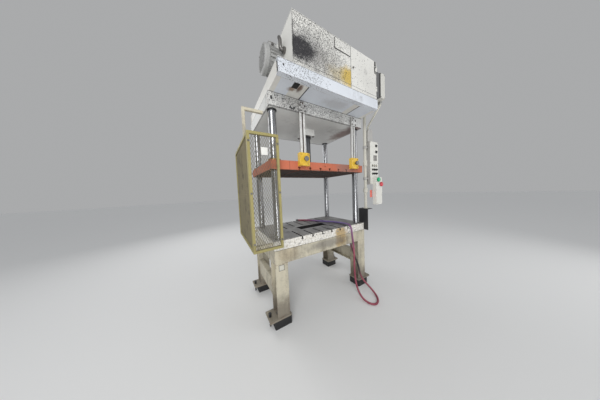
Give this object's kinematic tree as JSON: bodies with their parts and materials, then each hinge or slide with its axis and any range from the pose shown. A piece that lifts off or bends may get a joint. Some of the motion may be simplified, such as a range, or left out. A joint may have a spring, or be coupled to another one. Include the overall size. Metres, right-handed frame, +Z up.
{
  "type": "die casting trim press",
  "caption": "Four-column hydraulic trim press: T-slotted bed on an open stand, moving platen, crown with main cylinder, overhead power unit, side guard.",
  "frame": {"origin": "on the floor, at the centre of the four feet", "axes": "+Z up; +X to the operator's right along the front; the front faces -Y"},
  "size_m": [2.022, 1.2585, 3.195],
  "materials": {
    "cream_paint": "worn semi-gloss",
    "white_paint": "worn semi-gloss",
    "pale_blue_paint": "semi-gloss",
    "tank_paint": "oil-stained semi-gloss",
    "salmon_paint": "worn matt",
    "yellow_paint": "semi-gloss",
    "guard_paint": "dirty matt",
    "grey_paint": "semi-gloss",
    "machined_steel": "machined, worn",
    "chrome": "hard chrome",
    "dark_steel": "oiled",
    "bronze": "machined",
    "black_rubber": "oily",
    "hose_rubber": "matt",
    "black_plastic": "matt",
    "green_plastic": "gloss",
    "red_plastic": "gloss"
  },
  "bodies": {
    "frame": {"leg_front_left": "cream_paint", "leg_front_right": "cream_paint", "leg_rear_left": "cream_paint", "leg_rear_right": "cream_paint", "foot_pads": "black_rubber", "leveling_screws": "dark_steel", "front_apron": "cream_paint", "rear_apron": "cream_paint", "side_aprons": "cream_paint", "side_rails": "cream_paint", "bolster_plate": "machined_steel", "guide_columns": "chrome", "column_nuts": "dark_steel", "crown_plate": "white_paint", "crown_front_beam": "white_paint", "crown_rear_beam": "white_paint", "crown_side_plates": "white_paint", "cylinder_head": "cream_paint", "cylinder_barrel": "grey_paint", "cylinder_cap": "grey_paint", "rod_gland": "dark_steel", "platform_front_channel": "pale_blue_paint", "platform_members": "white_paint", "platform_soffits": "white_paint", "platform_deck": "white_paint", "tank_body": "tank_paint", "tank_lid": "tank_paint", "filler_cap": "black_plastic", "cabinet_body": "tank_paint", "cabinet_backplate": "grey_paint", "junction_box": "grey_paint", "motor_frame": "grey_paint", "motor_stator": "dark_steel", "fan_cowl": "grey_paint", "pump_body": "dark_steel", "valve_manifold": "machined_steel", "lock_bars": "white_paint", "guard_front_frame": "guard_paint", "guard_side_frame": "guard_paint", "guard_front_mesh": "guard_paint", "guard_side_mesh": "guard_paint", "guard_brackets": "cream_paint", "conduit_pole": "white_paint", "conduit_bracket": "grey_paint", "control_box": "white_paint", "button_box": "white_paint", "floor_hose": "hose_rubber", "hose_fittings": "machined_steel"},
    "platen_body": {"platen": "salmon_paint", "guide_bushings": "bronze", "ram_rod": "machined_steel", "ram_piston": "machined_steel", "lock_housings": "yellow_paint"},
    "lock_pin_left": {"lock_pin_left": "machined_steel"},
    "lock_pin_right": {"lock_pin_right": "machined_steel"},
    "cabinet_door": {"cabinet_door": "tank_paint"},
    "motor_rotor": {"motor_rotor": "machined_steel", "motor_fan": "black_plastic"},
    "start_button": {"start_button": "green_plastic"},
    "stop_button": {"stop_button": "red_plastic"}
  },
  "joints": [
    {"name": "platen_slide", "type": "slide", "parent": "frame", "child": "platen_body", "axis": [0, 0, 1], "range_m": [-0.56, 0.02]},
    {"name": "lock_pin_left_slide", "type": "slide", "parent": "platen_body", "child": "lock_pin_left", "axis": [0, 1, 0], "range_m": [0, 0.025]},
    {"name": "lock_pin_right_slide", "type": "slide", "parent": "platen_body", "child": "lock_pin_right", "axis": [0, 1, 0], "range_m": [0, 0.025]},
    {"name": "cabinet_door_hinge", "type": "hinge", "parent": "frame", "child": "cabinet_door", "pos_m": [0.685, -0.695, 2.9], "axis": [0, 0, 1], "range_deg": [0, 90]},
    {"name": "motor_spin", "type": "hinge", "parent": "frame", "child": "motor_rotor", "pos_m": [-0.6, -0.35, 2.88], "axis": [1, 0, 0], "continuous": true},
    {"name": "start_button_press", "type": "slide", "parent": "frame", "child": "start_button", "axis": [0, 1, 0], "range_m": [0, 0.006], "stiffness_N_per_m": 800, "springref_m": -0.002},
    {"name": "stop_button_press", "type": "slide", "parent": "frame", "child": "stop_button", "axis": [0, 1, 0], "range_m": [0, 0.006], "stiffness_N_per_m": 800, "springref_m": -0.002}
  ]
}
